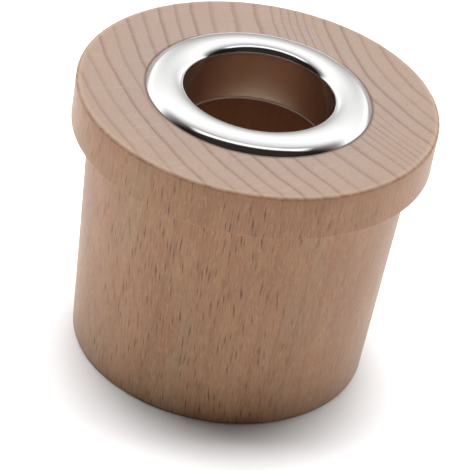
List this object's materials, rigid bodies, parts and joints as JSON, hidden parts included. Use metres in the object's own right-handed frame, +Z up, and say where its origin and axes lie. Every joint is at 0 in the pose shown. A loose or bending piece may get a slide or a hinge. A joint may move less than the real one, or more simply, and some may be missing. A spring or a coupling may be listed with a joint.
{
  "type": "needle case",
  "caption": "Small turned beech holder: wide flange over a tapered barrel, with a flat-bottomed blind bore whose mouth is lined by a steel sleeve with a low domed rim.",
  "frame": {"origin": "centre of the flat base, on the surface that the case stands on", "axes": "+Z up along the turning axis, from the base to the mouth; the case is round, so X and Y are alike"},
  "size_m": [0.0522, 0.0522, 0.0441],
  "materials": {
    "beech": "fine turned, unvarnished",
    "steel": "polished"
  },
  "bodies": {
    "root": {"turned_body": "beech", "steel_liner": "steel"}
  },
  "joints": []
}
